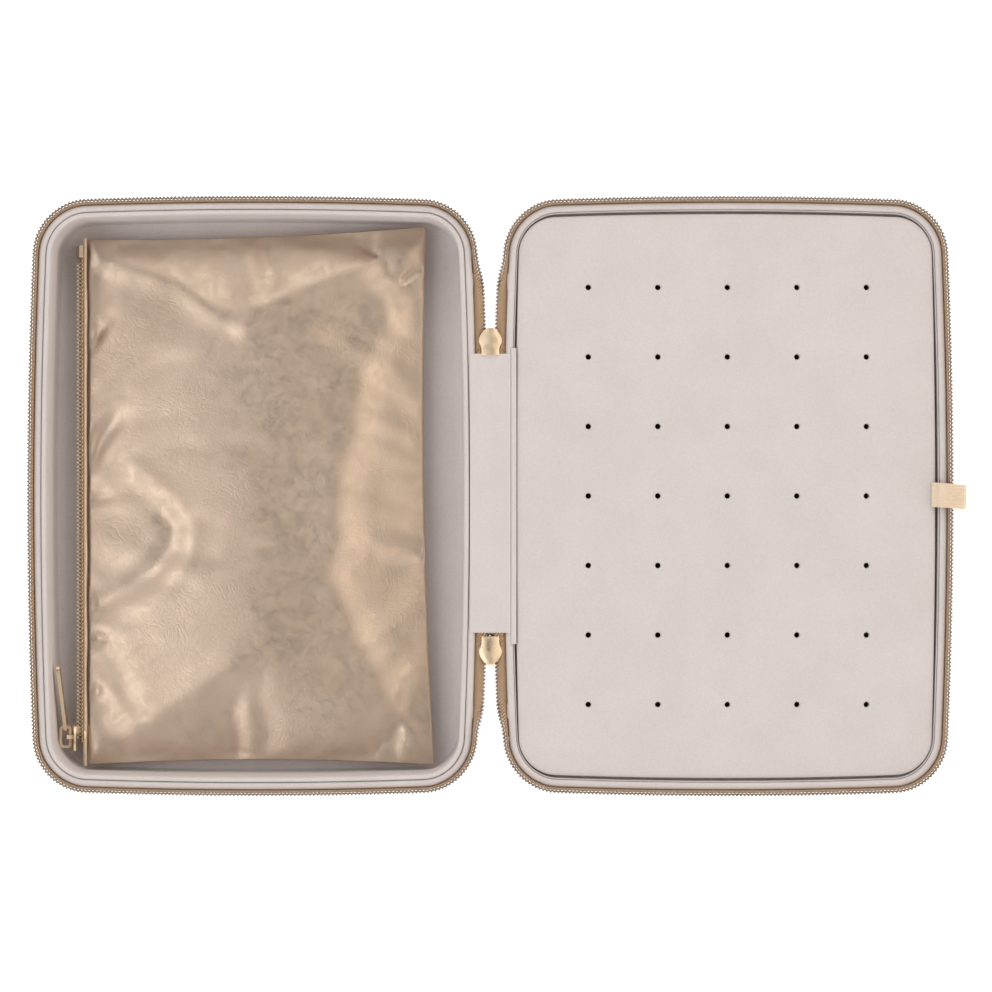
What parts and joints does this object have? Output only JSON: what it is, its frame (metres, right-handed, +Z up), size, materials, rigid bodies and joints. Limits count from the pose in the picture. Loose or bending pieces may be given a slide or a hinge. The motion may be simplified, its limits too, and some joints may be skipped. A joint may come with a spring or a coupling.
{
  "type": "travel jewelry case",
  "caption": "Zip-around travel jewelry case lying open flat: lined tray with a metallic zipped pouch, and a lid with a hinged suede earring panel.",
  "frame": {"origin": "centre of the base of the whole case's bounding box, lying open flat", "axes": "+X from the tray to the lid, across both halves; +Y along the spine; +Z up, out of the open case"},
  "size_m": [0.383, 0.2454, 0.037],
  "materials": {
    "grained_leather": "fine pebble grain, satin",
    "faux_suede": "short nap, matte",
    "greyboard": "matte",
    "backing_felt": "matte non-woven",
    "foam": "open-cell foam",
    "zipper_tape": "twill, matte",
    "zipper_coil": "metallised nylon",
    "pouch_coil": "metallised nylon",
    "satin_ribbon": "satin",
    "metallic_leather": "metallic foil, satin sheen",
    "gold_plate": "polished light gold plate"
  },
  "bodies": {
    "base": {"base_shell": "grained_leather", "base_rim_band": "faux_suede", "base_wall_liner": "faux_suede", "base_floor_board": "greyboard", "base_floor_pad": "faux_suede", "base_zipper_tape": "zipper_tape", "base_zipper_coil": "zipper_coil", "spine_outer_cover": "grained_leather", "spine_inner_strip": "faux_suede"},
    "spine_chain": {"spine_zipper_chain": "zipper_coil"},
    "upper_slider": {"upper_slider_body": "gold_plate", "upper_slider_bridge": "gold_plate"},
    "lower_slider": {"lower_slider_body": "gold_plate", "lower_slider_bridge": "gold_plate"},
    "upper_pull": {"upper_puller": "gold_plate"},
    "lower_pull": {"lower_puller": "gold_plate"},
    "lid": {"lid_shell": "grained_leather", "lid_rim_band": "faux_suede", "lid_wall_liner": "faux_suede", "lid_floor_board": "greyboard", "lid_floor_pad": "faux_suede", "lid_zipper_tape": "zipper_tape", "lid_zipper_coil": "zipper_coil", "panel_hinge_strip": "faux_suede"},
    "panel": {"panel_cover": "faux_suede", "panel_foam": "foam", "panel_board": "greyboard", "panel_backing": "backing_felt", "ribbon_pull": "satin_ribbon"},
    "pouch": {"pouch_front": "metallic_leather", "pouch_back": "metallic_leather", "pouch_zipper_tape": "zipper_tape", "pouch_zipper_coil": "pouch_coil", "pouch_tape_tab": "metallic_leather"},
    "pouch_slider": {"pouch_slider_body": "gold_plate", "pouch_slider_bridge": "gold_plate"},
    "pouch_ring": {"pouch_pull_ring": "gold_plate"},
    "pouch_bar": {"pouch_pull_bar": "gold_plate"}
  },
  "joints": [
    {"name": "lid_hinge", "type": "hinge", "parent": "base", "child": "lid", "pos_m": [-0.0023, 0, 0.034], "axis": [0, -1, 0], "range_deg": [0, 180], "deforming": ["spine_inner_strip", "spine_outer_cover", "ribbon_pull"]},
    {"name": "spine_turn", "type": "hinge", "parent": "base", "child": "spine_chain", "pos_m": [-0.0023, 0, 0.034], "axis": [0, -1, 0], "range_deg": [0, 90]},
    {"name": "upper_slider_run", "type": "slide", "parent": "spine_chain", "child": "upper_slider", "axis": [0, -1, 0], "range_m": [-0.015, 0]},
    {"name": "lower_slider_run", "type": "slide", "parent": "spine_chain", "child": "lower_slider", "axis": [0, 1, 0], "range_m": [-0.015, 0]},
    {"name": "upper_puller_swing", "type": "hinge", "parent": "upper_slider", "child": "upper_pull", "pos_m": [-0.0023, 0.063, 0.0271], "axis": [-1, 0, 0], "range_deg": [-60, 15]},
    {"name": "lower_puller_swing", "type": "hinge", "parent": "lower_slider", "child": "lower_pull", "pos_m": [-0.0023, -0.063, 0.0271], "axis": [1, 0, 0], "range_deg": [-50, 25]},
    {"name": "panel_hinge", "type": "hinge", "parent": "lid", "child": "panel", "pos_m": [0.00695, 0, 0.0315], "axis": [0, 1, 0], "range_deg": [-105, 0], "deforming": ["panel_hinge_strip"]},
    {"name": "pouch_lift", "type": "slide", "parent": "base", "child": "pouch", "axis": [0, 0, -1], "range_m": [-0.06, 0]},
    {"name": "pouch_slider_run", "type": "slide", "parent": "pouch", "child": "pouch_slider", "axis": [0, -1, 0], "range_m": [-0.16, 0]},
    {"name": "pouch_ring_swing", "type": "hinge", "parent": "pouch_slider", "child": "pouch_ring", "pos_m": [-0.17614, -0.0996, 0.01382], "axis": [0, -1, 0], "range_deg": [-40, 0]},
    {"name": "pouch_bar_swing", "type": "hinge", "parent": "pouch_ring", "child": "pouch_bar", "pos_m": [-0.17809, -0.09545, 0.01382], "axis": [-1, 0, 0], "range_deg": [-40, 10]}
  ],
  "couplings": [
    {"joint": "spine_turn", "follows": "lid_hinge", "ratio": 0.5}
  ]
}
